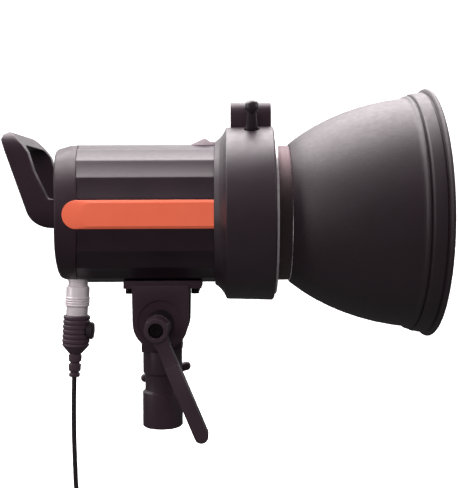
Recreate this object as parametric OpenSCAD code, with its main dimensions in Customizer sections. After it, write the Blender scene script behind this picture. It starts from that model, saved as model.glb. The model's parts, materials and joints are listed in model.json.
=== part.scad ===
// Monolight strobe on a tilting stand bracket.
// Origin: centre of the mouth of the stand socket. +Z up, +X towards the front of the lamp.

/* [Lamp head] */
// Height of the lamp axis above the mouth of the stand socket
axis_z = 160; // [158:0.5:166]
// Radius of the body tube over its ridges
tube_r = 51.8; // [51.6:0.1:52.4]
// Front end of the body tube
tube_front = 40; // [38:0.5:40]
// Rearmost point of the rear cap
cap_rear = -77.5; // [-78.5:0.5:-76.5]
// Radius of the vertical arc that the cap's rear face and seam follow
cap_arc_r = 217; // [200:1:240]

/* [Front ring and bayonet] */
// Front face of the ring
ring_front = 83.6; // [83:0.1:84]
// Radius of the ring at its shoulder
ring_r = 64.4; // [63.5:0.1:65]
// Radius of the ring at its front edge
ring_front_r = 65.5; // [64.5:0.1:66]
// Radius of the bore that takes the reflector's sleeve
bayonet_r = 46.3; // [46.2:0.1:46.8]
// Number of bayonet lugs
lugs = 3; // [3:1:4]

/* [Reflector] */
// Where the bowl leaves the neck
bowl_rear = 95.4; // [95:0.1:96]
// Front edge of the reflector
bowl_front = 198; // [196:0.5:200]
// Largest radius of the bowl's ellipse
bowl_r = 86.5; // [84:0.5:88]
// Wall of the spun bowl
bowl_wall = 1.2; // [1:0.1:1.5]

/* [Stand bracket] */
// Height of the tilt axis above the mouth of the stand socket
pivot_z = 80; // [79:0.5:81]
// Diameter of the stand stud that the socket takes
stud_d = 16; // [16:0.1:16.2]
// Depth of the stand socket
socket_depth = 46; // [42:1:47]
// Outer radius of the stand adapter's barrel
barrel_r = 14.75; // [14.5:0.05:15]
// Outer faces of the yoke's ears, from the middle plane
ear_out = 21; // [20.5:0.5:21.5]

/* [Lead] */
// Diameter of the lead
lead_d = 3.6; // [3.2:0.1:4]
// Radius of the coil at the middle of its turns
coil_r = 20; // [19:0.5:22]

/* [Hidden] */

fine = 96;             // segments of a large round
small = 48;            // segments of a small round
eps = 0.01;
fit = 0.05;            // radial clearance of a running fit
shell_in = 48.2;       // inner radius of tube and cap
seam_x = cap_rear + 15.8;
facet_angles = [for (half = [0, 180]) for (a = [12, 30, 48, 66, 84, 96, 114, 132, 150, 168]) a + half];

charcoal = [0.20, 0.17, 0.19];
graphite = [0.30, 0.27, 0.29];
orange = [0.86, 0.41, 0.29];
steel = [0.72, 0.72, 0.74];
rubber = [0.10, 0.10, 0.11];

// Children drawn along +Z are laid along +X on the lamp axis, starting at x.
module along_x(x) translate([x, 0, axis_z]) rotate([0, 90, 0]) children();

// A solid of revolution about the lamp axis; points are [radius, x].
module lathe_x(points, n = fine) along_x(0) rotate_extrude($fn = n) polygon(points);

// A disc or tube on the lamp axis between two stations.
module tube_x(x0, x1, r, bore = 0) along_x(x0) difference() {
    cylinder(r = r, h = x1 - x0, $fn = fine);
    if (bore > 0) translate([0, 0, -1]) cylinder(r = bore, h = x1 - x0 + 2, $fn = fine);
}

// A cylinder along Y between y0 and y1.
module rod_y(x, z, y0, y1, r, n = small)
    translate([x, y1, z]) rotate([90, 0, 0]) cylinder(r = r, h = y1 - y0, $fn = n);

// An outline in the XZ plane, with thickness from y0 to y1.
module plate_y(y0, y1) translate([0, y1, 0]) rotate([90, 0, 0]) linear_extrude(y1 - y0) children();

// A vertical cylinder whose surface bounds the cap at station x on the middle plane.
module arc_block(x, h = 200)
    translate([x + cap_arc_r, 0, axis_z - h / 2]) cylinder(r = cap_arc_r, h = h, $fn = 360);

// ---------------------------------------------------------------- body tube and cap

module facets(r) polygon([for (a = facet_angles) [-r * sin(a), r * cos(a)]]);

panel_rear = -66;
panel_half = 10.1;
panel_in = 49.7;
panel_out = 52;

// Outline of a side panel in XZ: straight, with a round rear end.
module panel_outline(gap) {
    centre = panel_rear + panel_half;
    translate([centre, axis_z]) circle(r = panel_half + gap, $fn = small);
    translate([centre, axis_z - panel_half - gap])
        square([tube_front - centre + gap, 2 * (panel_half + gap)]);
}

module panel_pockets() for (side = [-1, 1])
    plate_y(side > 0 ? panel_in : -60, side > 0 ? 60 : -panel_in) panel_outline(0.12);

sensor_rear = 22.4;
sensor_half = 7;

// Outline of the sensor window in XZ: a low wedge that rises from the rear to its apex.
module sensor_outline() translate([0, axis_z]) polygon([
    [sensor_rear, 49.6], [sensor_rear, 51.6], [sensor_rear + 10, 56.2], [sensor_rear + 11.4, 55.6],
    [tube_front - 3, 53.4], [tube_front, 53.4], [tube_front, 49.6]]);

inlet_x = seam_x;
inlet_y = -10;
inlet_h = -47.5;
inlet_lean = 2.6;

// Local frame of the power connector: its axis points down, leaning a little rearwards.
module at_inlet() translate([inlet_x, inlet_y, axis_z + inlet_h]) rotate([0, inlet_lean, 0]) children();

// A revolved piece of the connector; points are [radius, depth below the inlet].
module inlet_lathe(points, n = small) at_inlet() rotate_extrude($fn = n)
    polygon([for (p = points) [p[0], -p[1]]]);

module inlet_hole() at_inlet() translate([0, 0, -12]) cylinder(r = 8.3, h = 20, $fn = small);

yoke_screw_x = [-23.8, 25.2];
yoke_screw_y = 10;
module yoke_screw_holes(r) for (x = yoke_screw_x, y = [-yoke_screw_y, yoke_screw_y])
    translate([x, y, axis_z - 56]) cylinder(r = r, h = 12, $fn = 24);

module body_tube() color(charcoal) difference() {
    intersection() {
        along_x(seam_x) linear_extrude(tube_front - seam_x) facets(tube_r);
        arc_block(seam_x + 0.02);
    }
    tube_x(seam_x - 1, tube_front + 1, shell_in);
    panel_pockets();
    translate([sensor_rear - 0.1, -sensor_half - 0.1, axis_z + 49.5])
        cube([tube_front - sensor_rear + 1, 2 * sensor_half + 0.2, 10]);
    inlet_hole();
    yoke_screw_holes(2.1);
}

cap_corner = 1.6;
cap_taper = 2.6;         // how much smaller the cap is at its rear corner
cap_sweep_r = 240;       // the lower part of its rear face sweeps forward on this radius
cap_sweep_h = -10;
cap_r = 51.6;
cap_inside = cap_rear + 8.5;

panel_w = 60;
panel_h = 65;
panel_x0 = cap_rear + 2.4;
panel_x1 = panel_x0 + 2;

// A rounded rectangle in the rear panel's plane, width along Y and height along Z, around [y, h].
module rear_block(x0, x1, y, h, w, t, r) translate([x0, y, axis_z + h]) rotate([0, 90, 0])
    linear_extrude(x1 - x0) union() {
        square([t - 2 * r, w], center = true);
        square([t, w - 2 * r], center = true);
        for (a = [-1, 1], b = [-1, 1]) translate([a * (t / 2 - r), b * (w / 2 - r)]) circle(r = r, $fn = 32);
    }

// A disc parallel to the rear panel, around [y, h].
module rear_disc(x0, x1, y, h, r) translate([x0, y, axis_z + h]) rotate([0, 90, 0])
    cylinder(r = r, h = x1 - x0, $fn = small);

// What lies in front of the cap's rear face in side view: flat above, swept forward below.
module cap_sweep() {
    translate([cap_rear, -100, axis_z + cap_sweep_h]) cube([60, 200, 100]);
    rod_y(cap_rear + cap_sweep_r, axis_z + cap_sweep_h, -100, 100, cap_sweep_r, 360);
}

module rear_cap() color(charcoal) difference() {
    union() {
        difference() {
            intersection() {
                cap_sweep();
                along_x(cap_rear) rotate_extrude($fn = fine) polygon(concat(
                    [[0, 0]],
                    [for (a = [0:10:90]) [cap_r - cap_taper - cap_corner * (1 - sin(a)),
                                          cap_corner * (1 - cos(a))]],
                    [[cap_r, 14], [cap_r, 30], [0, 30]]));
                arc_block(cap_rear);
            }
            arc_block(seam_x);
        }
        tube_x(seam_x - 5, seam_x + 13, shell_in - 0.1);
    }
    tube_x(cap_inside, 0, 46.2);
    panel_pockets();
    rear_block(cap_rear - 5, panel_x1 + 0.02, 0, 0.5, panel_w + 0.3, panel_h + 0.3, 6);
    rear_block(cap_rear - 5, 0, 0, 0.5, panel_w - 5, panel_h - 5, 4);
    for (h = [-42.5, -38.5, 39.5, 43.5])
        rear_block(cap_rear - 5, 0, 0, h, abs(h) > 42 ? 20 : 30, 2.2, 1.05);
    inlet_hole();
    for (side = [-1, 1]) rear_disc(cap_rear - 5, 0, side * handle_y, handle_h, 1.8);
}

module side_panel(side) color(orange)
    plate_y(side > 0 ? panel_in + 0.05 : -panel_out, side > 0 ? panel_out : -panel_in - 0.05)
        panel_outline(0);
module side_panel_near() side_panel(-1);
module side_panel_far() side_panel(1);

module sensor_window() color([0.75, 0.73, 0.74]) plate_y(-sensor_half, sensor_half) sensor_outline();

// ---------------------------------------------------------------- handle

handle_y = 39;
handle_h = 0.5;
handle_t = 8;
grip_h = 49;             // underside of the grip
grip_top = 59.2;
handle_corner = 16;

// Side outline of one arm, as [x, height above the lamp axis].
module handle_outline() translate([0, axis_z]) polygon(concat(
    [[cap_rear + 8, 10.9], [cap_rear + 8, -9.9]],
    [for (a = [0:12:72]) [-76 - 17.5 * sin(a), 7.6 - 17.5 * cos(a)]],
    [[-110.9, 53.5], [-110, 56.8], [-107.6, 59], [-104.6, 59], [-100, 54.6], [-95.7, 50],
     [-91.9, 44.5], [-87.6, 31], [-79.6, 14.5], [-78.4, 12.2], [-77, 11.1]]));

module handle() color(charcoal) difference() {
    intersection() {
        union() {
            for (side = [-1, 1])
                plate_y(side * handle_y - handle_t / 2, side * handle_y + handle_t / 2) handle_outline();
            plate_y(-handle_y, handle_y) intersection() {
                handle_outline();
                translate([-130, axis_z + grip_h]) square([60, 20]);
            }
        }
        rear_block(-130, cap_rear + 20, 0, 0, 2 * handle_y + handle_t, 2 * grip_top, handle_corner);
    }
    arc_block(cap_rear - 0.02);
    for (side = [-1, 1]) rear_disc(cap_rear - 9, 0, side * handle_y, handle_h, 1.6);
}

module handle_screws() color(steel) for (side = [-1, 1]) {
    rear_disc(cap_rear - 8.5, cap_inside + 0.02, side * handle_y, handle_h, 1.55);
    rear_disc(cap_inside + 0.02, cap_inside + 2.4, side * handle_y, handle_h, 3.2);
}

// ---------------------------------------------------------------- front ring

groove_r = 49;
slot_r = 48.9;
groove_x0 = 71.5;
groove_x1 = 76;
sleeve_rear = 60;

// Outer profile of the ring from its concave rear shoulder to the front, as [radius, x].
ring_profile = [[53.6, 40], [55, 42], [56.7, 44], [59.8, 46.5], [62.8, 48], [ring_r, 48.7],
                [ring_front_r - 0.1, ring_front - 1.2], [ring_front_r - 1.2, ring_front]];

pin_x = 67.5;
pin_lean = 18;

// Frame of the lock pin: +Z runs outwards from the lamp axis, leaning to the near side.
module at_pin() translate([pin_x, 0, axis_z]) rotate([pin_lean, 0, 0]) children();

module lug_slots(r) for (k = [0:lugs - 1]) rotate([0, 0, k * 360 / lugs + 30])
    intersection() {
        cylinder(r = r, h = 20, $fn = fine);
        translate([0, 0, -1]) linear_extrude(22)
            polygon([[0, 0], 70 * [cos(-11), sin(-11)], 70 * [cos(11), sin(11)]]);
    }

module front_ring() color(charcoal) difference() {
    lathe_x(concat([[40, 34], [shell_in - 0.1, 34], [shell_in - 0.1, tube_front + 0.02],
                    [ring_profile[0][0], tube_front + 0.02]],
                   [for (i = [1:len(ring_profile) - 1]) ring_profile[i]], [[40, ring_front]]));
    tube_x(30, 58, 45);
    tube_x(57.9, 90, bayonet_r);
    tube_x(groove_x0, groove_x1, groove_r);
    along_x(groove_x1 - 0.5) lug_slots(slot_r);
    tube_x(ring_front - 2, 90, 61);
    at_pin() cylinder(r = 2.6, h = 80, $fn = small);
    at_pin() translate([0, 0, 52.5]) cylinder(r = 4, h = 7, $fn = small);
    at_pin() translate([0, 0, 62.6]) cylinder(r = 5.8, h = 10, $fn = small);
}

module bayonet_plate() color(steel) difference() {
    tube_x(ring_front - 2 + 0.02, ring_front + 1.8, 60.9, bayonet_r);
    along_x(ring_front - 3) lug_slots(slot_r);
}

holder_h = 74;
holder_x = [52, 82.2];
holder_half = 9.5;
umbrella_bore = 8.5;

module umbrella_holder() color(graphite) difference() {
    union() {
        translate([holder_x[0], -holder_half, axis_z + 60])
            cube([holder_x[1] - holder_x[0], 2 * holder_half, holder_h - 60]);
        translate([holder_x[0], 0, axis_z + holder_h]) rotate([0, 90, 0])
            cylinder(r = holder_half, h = holder_x[1] - holder_x[0], $fn = small);
    }
    lathe_x(concat([[0, 30]], [for (p = ring_profile) p + [0.02, 0]], [[0, ring_front]]));
    translate([holder_x[0] - 1, 0, axis_z + holder_h]) rotate([0, 90, 0])
        cylinder(d = umbrella_bore, h = 40, $fn = small);
    rod_y(pin_x, axis_z + holder_h, 0, 12, 2.5 + fit);
}

module umbrella_pad() color("ivory") rod_y(pin_x, axis_z + holder_h, 4.35, 6.3, 2.1);

module umbrella_screw() color(graphite) {
    z = axis_z + holder_h;
    rod_y(pin_x, z, 6.35, 12.4, 2.5);
    rod_y(pin_x, z, 12.4, 14, 4.5);
    difference() {
        rod_y(pin_x, z, 14, 22, 7.2);
        for (a = [0:30:330]) translate([pin_x, 0, z]) rotate([0, a, 0])
            translate([8.1, 0, 0]) rod_y(0, 0, 13, 23, 1.3, 24);
    }
}

// ---------------------------------------------------------------- lock pin

module lock_pin() color(charcoal) at_pin() {
    translate([0, 0, 47]) cylinder(r = 2.5, h = 33, $fn = small);
    translate([0, 0, 53]) cylinder(r = 3.7, h = 1.2, $fn = small);
    translate([0, 0, 63]) cylinder(r1 = 5, r2 = 3.4, h = 15, $fn = small);
    translate([0, 0, 81.3]) sphere(r = 5.5, $fn = small);
}

module lock_spring() color(steel) at_pin() translate([0, 0, 54.25]) difference() {
    cylinder(r = 3.6, h = 5.2, $fn = small);
    translate([0, 0, -1]) cylinder(r = 2.7, h = 8, $fn = small);
}

// ---------------------------------------------------------------- reflector

reflector_span = 129;
reflector_focus_x = 201;
bowl_swell = 2.2;        // how much wider than the ellipse it leaves the neck
function bowl_at(x) = bowl_r * sqrt(1 - pow((reflector_focus_x - x) / reflector_span, 2))
    + bowl_swell * exp((bowl_rear - x) / 16);
bowl_steps = 24;
bowl_end = 178.5;
bowl_x = [for (i = [0:bowl_steps]) bowl_rear + (bowl_end - bowl_rear) * i / bowl_steps];

// Outer profile of the rim: low bead, groove, wide band, groove and rolled lip, as [radius, x].
rim = [[85.7, 180], [86.9, 181.4], [87.3, 182.4], [87, 183.3], [86.2, 183.9], [88, 184.6],
       [88.6, 185.6], [89.2, 189], [89.8, 193], [88.6, 194.2], [90.8, 194.9], [92.1, 195.8],
       [92.5, 196.8], [92.1, 197.6], [91, bowl_front]];

module reflector_bowl() color(charcoal) lathe_x(concat(
    [for (x = bowl_x) [bowl_at(x), x]], rim,
    [[89.8, bowl_front]], [for (i = [len(rim) - 2:-1:0]) rim[i] - [bowl_wall + 0.3, 0]],
    [for (i = [bowl_steps:-1:0]) [bowl_at(bowl_x[i]) - bowl_wall, bowl_x[i]]]));

neck_r = 50.5;
module reflector_neck() color(steel) {
    lathe_x([[neck_r, ring_front + 1.9], [neck_r, bowl_rear - 0.02], [44.6, bowl_rear - 0.02],
             [44.6, sleeve_rear], [bayonet_r - 0.3, sleeve_rear], [bayonet_r - 0.3, ring_front + 1.9]]);
    along_x(groove_x0 + 0.3) intersection() {
        difference() {
            cylinder(r = groove_r - 0.4, h = groove_x1 - groove_x0 - 0.6, $fn = fine);
            translate([0, 0, -1]) cylinder(r = 45.5, h = 8, $fn = fine);
        }
        union() for (k = [0:lugs - 1]) rotate([0, 0, k * 360 / lugs]) linear_extrude(5)
            polygon([[0, 0], 70 * [cos(-9), sin(-9)], 70 * [cos(9), sin(9)]]);
    }
}

// Rivets along +X through a tab on the neck's inner end face.
module reflector_rivets() color(steel) for (k = [0:5]) along_x(bowl_rear - 0.02)
    rotate([0, 0, 60 * k + 30]) translate([46.4, 0, 0]) cylinder(r = 1.5, h = 1.2, $fn = 24);

// ---------------------------------------------------------------- light sources

module flash_dish() color("white") difference() {
    tube_x(40, 46, 44.8);
    tube_x(42, 50, 41);
    tube_x(39, 50, 12.2);
}

flash_ring_r = 26;
module flash_tube() color("ivory") {
    along_x(55) rotate([0, 0, 25]) rotate_extrude(angle = 310, $fn = fine)
        translate([flash_ring_r, 0]) circle(r = 3.6, $fn = 32);
    for (a = [25, 335]) along_x(42) rotate([0, 0, a])
        translate([flash_ring_r, 0, 0]) cylinder(r = 3.6, h = 13, $fn = 32);
}

module modelling_lamp() color("gold") {
    tube_x(40, 47, 12);
    along_x(47) intersection() {
        sphere(r = 9, $fn = small);
        cylinder(r = 9, h = 12, $fn = small);
    }
}

dome_r = 37;
module glass_dome() color("white", 0.4) lathe_x(concat(
    [[dome_r, 42.02], [dome_r, 74]],
    [for (a = [10:10:90]) [dome_r * cos(a), 74 + 14 * sin(a)]],
    [for (a = [90:-10:0]) [(dome_r - 1.8) * cos(a), 74 + 12.2 * sin(a)]],
    [[dome_r - 1.8, 42.02]]));

module heat_sink() color(steel) {
    tube_x(34.5, 39.98, 44.8);
    for (k = [-4:4]) {
        y = k * 6;
        reach = sqrt(30 * 30 - y * y);
        translate([12, y - 0.7, axis_z - reach]) cube([22.5 + eps, 1.4, 2 * reach]);
    }
}

// ---------------------------------------------------------------- inside

board_h = -19;
chassis_h = -24;
chassis_foot = 33.8;
module chassis() color(steel) {
    translate([-44, -34, axis_z + chassis_h]) cube([50, 68, 1.5]);
    for (y = [-34, 32.5]) translate([-44, y, axis_z + chassis_h]) cube([50, 1.5, 5]);
    for (x = [-40, 0], y = [-28, 28]) translate([x, y, axis_z + chassis_h + 1.5])
        cylinder(r = 3, h = board_h - chassis_h - 1.5, $fn = 24);
    for (y = [-30, 30]) translate([-20, y, axis_z - chassis_foot])
        cylinder(r = 4, h = chassis_foot + chassis_h, $fn = 24);
}

module power_board() color("seagreen") {
    translate([-43, -31.5, axis_z + board_h]) cube([46, 63, 1.6]);
    for (y = [-20, 0, 20]) translate([-10, y - 5, axis_z + board_h + 1.6]) cube([8, 10, 14]);
    translate([-42, -8, axis_z + board_h - 3]) cube([6, 16, 3]);
}

capacitor_r = 12.5;
module capacitors() color("navy") for (y = [-26, 0, 26])
    translate([-42, y, axis_z + board_h + 1.6 + capacitor_r + 0.05]) rotate([0, 90, 0]) {
        cylinder(r = capacitor_r, h = 30, $fn = small);
        translate([0, 0, 30]) cylinder(r = capacitor_r - 1, h = 1, $fn = small);
    }

coil_board_h = 7.75;
module trigger_coil() color("goldenrod") {
    translate([-42, -16, axis_z + coil_board_h]) cube([40, 32, 1.6]);
    translate([-30, -9, axis_z + coil_board_h + 1.6]) cube([22, 18, 14]);
    translate([-19, 0, axis_z + coil_board_h + 15.6]) cylinder(r = 6, h = 8, $fn = small);
}

module control_board() color("seagreen") {
    rear_block(cap_rear + 10.5, cap_rear + 12.1, 0, 0.5, 54, 59, 3);
    rear_block(panel_x1 + 1, cap_rear + 10.5, 0, 21, 36, 15, 1);
    for (p = control_places) rear_block(panel_x1 + 3, cap_rear + 10.5, p[0], p[1], 6, 6, 0.5);
    rear_block(panel_x1 + 2, cap_rear + 10.5, 0, dial_h, 12, 12, 1);
}

fan_x = [-62, -48];
module fan_frame() color(rubber) difference() {
    rear_block(fan_x[0], fan_x[1], 0, 0, 60, 60, 4);
    difference() {
        tube_x(fan_x[0] - 1, fan_x[1] + 1, 28.6);
        tube_x(fan_x[1] - 2, fan_x[1] + 1, 13);
        for (a = [0:90:270]) along_x(fan_x[1] - 2) rotate([0, 0, a + 20])
            translate([0, -2, 0]) cube([40, 4, 2]);
    }
}

fan_blades = 7;
module fan_rotor() color([0.16, 0.16, 0.17]) {
    tube_x(fan_x[0] + 0.5, fan_x[1] - 2.4, 12);
    for (k = [0:fan_blades - 1]) along_x(fan_x[0] + 1.5) rotate([0, 0, k * 360 / fan_blades])
        translate([11, 0, 0]) rotate([35, 0, 0]) translate([0, -0.7, 0]) cube([16.5, 1.4, 9]);
}

// ---------------------------------------------------------------- rear controls

dial_h = 0.5;
dial_r = 10;
display_h = 21;
button_r = 3.6;
control_places = [[-21, 4], [21, 4], [-21, -10]];
switch_place = [21, -10];
port_h = -25;

module control_panel() color([0.08, 0.08, 0.09]) difference() {
    rear_block(panel_x0, panel_x1, 0, 0.5, panel_w, panel_h, 6);
    rear_block(panel_x0 - 1, panel_x1 + 1, 0, display_h, 40, 19, 2);
    rear_disc(panel_x0 - 1, panel_x1 + 1, 0, dial_h, 4);
    for (p = control_places) rear_disc(panel_x0 - 1, panel_x1 + 1, p[0], p[1], button_r + 0.25);
    rear_block(panel_x0 - 1, panel_x1 + 1, switch_place[0], switch_place[1], 13, 9, 1);
    rear_disc(panel_x0 - 1, panel_x1 + 1, -14, port_h, 3.5);
    rear_block(panel_x0 - 1, panel_x1 + 1, 2, port_h, 10, 4.6, 1.5);
}

module display_window() color([0.15, 0.2, 0.22])
    rear_block(panel_x0 + 0.2, panel_x1, 0, display_h, 39.8, 18.8, 1.9);

module control_dial() color(graphite) difference() {
    union() {
        rear_disc(panel_x0 - 8, panel_x0 - 0.6, 0, dial_h, dial_r);
        rear_disc(panel_x0 - 0.7, panel_x1 + 1.5, 0, dial_h, 3.9);
    }
    rear_disc(panel_x0 - 11, panel_x0 - 3.5, 0, dial_h, 5.6);
    rear_disc(panel_x0 - 4.5, panel_x1 + 3, 0, dial_h, 1.6);
    for (a = [0:15:345]) rear_disc(panel_x0 - 9, panel_x0 - 2.2,
        (dial_r + 0.5) * cos(a), dial_h + (dial_r + 0.5) * sin(a), 0.8);
}

module dial_button() color(orange) {
    rear_disc(panel_x0 - 7.6, panel_x0 - 4.4, 0, dial_h, 5.5);
    rear_disc(panel_x0 - 4.5, panel_x1 + 0.8, 0, dial_h, 1.5);
}

module push_button(place) color(graphite) {
    rear_disc(panel_x0 - 1.4, panel_x1, place[0], place[1], button_r);
    rear_disc(panel_x1, panel_x1 + 1.2, place[0], place[1], button_r + 1);
}
module menu_button() push_button(control_places[0]);
module sync_button() push_button(control_places[1]);
module test_button() push_button(control_places[2]);

rocker_r = 12;
rocker_rest = 8;
// The rocker turns about a vertical pin and rests in its off position.
module power_switch() color("firebrick")
    translate([panel_x0 + 1, switch_place[0], axis_z + switch_place[1]]) rotate([0, 0, rocker_rest])
        intersection() {
            translate([-4, -6, -4]) cube([5.5, 12, 8]);
            difference() {
                translate([0, 0, -5]) cylinder(r = 6.1, h = 10, $fn = small);
                translate([-rocker_r - 2, 0, -6]) cylinder(r = rocker_r, h = 12, $fn = fine);
            }
        }

module port_block() color([0.25, 0.25, 0.27]) {
    difference() {
        rear_disc(panel_x0 - 0.4, panel_x1 + 5, -14, port_h, 3.4);
        rear_disc(panel_x0 - 2, panel_x1 + 4, -14, port_h, 1.8);
    }
    difference() {
        rear_block(panel_x0 - 0.2, panel_x1 + 5, 2, port_h, 9.4, 4, 1.3);
        rear_block(panel_x0 - 2, panel_x1 + 4, 2, port_h, 8.4, 3, 0.9);
    }
}

// ---------------------------------------------------------------- stand bracket

ear_in = 13;
ear_r = 20.4;
plate_top = axis_z - tube_r * cos(6) - 0.03;
plate_t = 3.8;
tier_t = 4.8;
tier_half = 20.8;
yoke_x = [-27.5, 30];

module yoke() color(graphite) difference() {
    union() {
        translate([yoke_x[0], -17, plate_top - plate_t]) cube([yoke_x[1] - yoke_x[0], 34, plate_t + 2]);
        translate([-tier_half, -ear_out, plate_top - plate_t - tier_t])
            cube([2 * tier_half, 2 * ear_out, tier_t + 3]);
        for (side = [-1, 1])
            plate_y(side > 0 ? ear_in : -ear_out, side > 0 ? ear_out : -ear_in) {
                translate([0, pivot_z]) circle(r = ear_r, $fn = fine);
                polygon([[-ear_r, pivot_z], [ear_r, pivot_z],
                         [ear_r + 0.5, plate_top - plate_t], [-ear_r - 0.5, plate_top - plate_t]]);
            }
    }
    along_x(-60) linear_extrude(120) facets(tube_r + 0.02);
    yoke_screw_holes(2.1);
    translate([0, 0, -20]) yoke_screw_holes(2.1);
    rod_y(0, pivot_z, -30, 30, 4 + fit);
    for (side = [-1, 1]) rod_y(0, pivot_z, side > 0 ? ear_out - 1 : -ear_out - 1,
                               side > 0 ? ear_out + 1 : -ear_out + 1, 16.5, fine);
}

module yoke_screws() color(rubber) for (x = yoke_screw_x, y = [-yoke_screw_y, yoke_screw_y])
    translate([x, y, 0]) {
        translate([0, 0, plate_top - plate_t - 4.2]) difference() {
            cylinder(r = 2.9, h = 4.2, $fn = small);
            translate([0, 0, -1]) cylinder(r = 1.5, h = 3.4, $fn = 6);
        }
        translate([0, 0, plate_top - plate_t]) cylinder(r = 2, h = 9, $fn = 24);
    }

module friction_washers() color("silver") for (side = [-1, 1])
    difference() {
        rod_y(0, pivot_z, side > 0 ? 12.45 : -12.98, side > 0 ? 12.98 : -12.45, 15);
        rod_y(0, pivot_z, -20, 20, 4.2);
    }

module clamp_nut() color(steel) difference() {
    rod_y(0, pivot_z, ear_out - 0.98, ear_out + 5.5, 7.6, 6);
    rod_y(0, pivot_z, 0, 40, 4 + fit);
}

lever_lean = 23;
hub_out = -60;
module clamp_stud() color(steel) {
    rod_y(0, pivot_z, -36.9, ear_out + 7, 4);
    rod_y(0, pivot_z, -23.2, -ear_out + 0.95, 9.6);
    rod_y(0, pivot_z, -31, -23.2, 6.3);
    rod_y(0, pivot_z, -33, -31, 7.3);
    rod_y(0, pivot_z, -36.8, -33, 6.3);
    difference() {
        rod_y(0, pivot_z, -48, -36.8, 5.5);
        for (a = [0:30:330]) translate([0, 0, pivot_z]) rotate([0, a, 0]) translate([5.9, 0, 0])
            rod_y(0, 0, -49, -37, 0.8, 24);
        rod_y(0, pivot_z, -49, -42, 2.1);
    }
}

// Lever outline in XZ with the hub at the pivot, before it is leaned; the arm hangs down.
arm_step = 27;
arm_length = 84;
arm_half = 4.9;
module clamp_lever() color(graphite) difference() {
    translate([0, 0, pivot_z]) rotate([0, -lever_lean, 0]) translate([0, 0, -pivot_z]) {
        rod_y(0, pivot_z, hub_out, -37.2, 8.3);
        rod_y(0, pivot_z, -45, -40, 9.2);
        plate_y(-58, -49) polygon([[-6.4, pivot_z], [6.4, pivot_z], [4.7, pivot_z - 14],
            [arm_half, pivot_z - arm_step], [-arm_half, pivot_z - arm_step], [-4.7, pivot_z - 14]]);
        plate_y(-59, -48) {
            translate([-arm_half, pivot_z - arm_length + arm_half])
                square([2 * arm_half, arm_length - arm_step - arm_half]);
            translate([0, pivot_z - arm_length + arm_half]) circle(r = arm_half, $fn = small);
        }
    }
    rod_y(0, pivot_z, hub_out - 1, -51, 5.2);
    rod_y(0, pivot_z, -49, -30, 5.6);
    rod_y(0, pivot_z, -55, -45, 2.8);
}

module lever_screw() color(steel) {
    difference() {
        rod_y(0, pivot_z, -57.8, -55.2, 4.9);
        rod_y(0, pivot_z, -59, -56.4, 2.2, 6);
    }
    rod_y(0, pivot_z, -55.2, -42.1, 2);
}

module lever_spring() color(steel) difference() {
    rod_y(0, pivot_z, -55.15, -51.05, 4.6);
    rod_y(0, pivot_z, -56, -50, 3.4);
}

tongue_half = 12.4;
foot_top = 25.8;         // top of the adapter's wider foot
waist_z = [27.4, 40.5];
tongue_z = 57;           // where the round barrel turns into the flat tongue
stud_screw_z = 34;

module stand_adapter() color(graphite) difference() {
    union() {
        rotate_extrude($fn = fine) polygon([[0, 0], [14.3, 0], [15.1, 0.8], [15.1, foot_top],
            [13.3, waist_z[0]], [13.3, waist_z[1] - 1.5], [barrel_r, waist_z[1]], [barrel_r, tongue_z],
            [0, tongue_z]]);
        plate_y(-tongue_half, tongue_half) {
            translate([-barrel_r, tongue_z - eps]) square([2 * barrel_r, pivot_z - tongue_z]);
            translate([0, pivot_z]) circle(r = 17.5, $fn = fine);
        }
        rod_y(0, stud_screw_z, 8, 20, 7.5);
    }
    translate([0, 0, -1]) cylinder(d = stud_d + 0.2, h = socket_depth + 1, $fn = fine);
    rod_y(0, pivot_z, -20, 20, 4 + fit);
    rod_y(0, stud_screw_z, 5, 30, 4 + fit);
    for (side = [-1, 1])
        rod_y(0, pivot_z, side > 0 ? tongue_half : -40, side > 0 ? 40 : -tongue_half, 21.6, fine);
}

bar_tilt = 16;
module stud_pad() color("peru") rod_y(0, stud_screw_z, 8.15, 10.6, 3.6);

module stud_screw() color(graphite) {
    rod_y(0, stud_screw_z, 10.65, 24, 4);
    rod_y(0, stud_screw_z, 22.6, 34, 5.4);
    translate([0, 30, stud_screw_z]) rotate([0, -bar_tilt, 0]) rotate([0, 90, 0]) {
        translate([0, 0, -17]) cylinder(r = 3.5, h = 34, $fn = small);
        for (end = [-17, 17]) translate([0, 0, end]) sphere(r = 3.5, $fn = small);
    }
}

// ---------------------------------------------------------------- power connector

module power_inlet() color(steel) inlet_lathe([
    [0, -6], [6, -6], [6, -0.5], [8.15, -0.5], [8.15, 2.4], [7.15, 2.4], [7.15, 6.2], [5, 6.2],
    [5, 14], [0, 14]]);

// Barrel, four-groove collar and lower barrel of the plug.
collar_top = 6.25;
module plug_collar() color(rubber) inlet_lathe(concat(
    [[5.1, collar_top], [8, collar_top], [8.6, collar_top + 0.6], [8.6, 14.2]],
    [for (k = [0:3], p = [[9.15, 0.1], [9.15, 1.1], [8.5, 1.3], [8.5, 1.55]])
        [p[0], 14.2 + 1.75 * k + p[1]]],
    [[7.95, 21.4], [7.95, 27.9], [5.1, 27.9]]));

boot_top = 28;
boot_ribs = 6;
module plug_boot() color(rubber) difference() {
    inlet_lathe(concat(
        [[0, boot_top + 0.5], [0, boot_top], [9.2, boot_top]],
        [for (k = [0:boot_ribs - 1], p = [[9.9, 0.5], [9.9, 2.3], [9.3, 2.6], [9.3, 3.2]])
            [p[0] + 0.04 * k, boot_top + 3.5 * k + p[1]]],
        [[10.1, 50], [4.9, 56.2], [0, 56.2]]));
    at_inlet() translate([6.6, 0, -39]) rotate([0, 90, 0]) cylinder(r = 6.6, h = 12, $fn = small);
}

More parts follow.
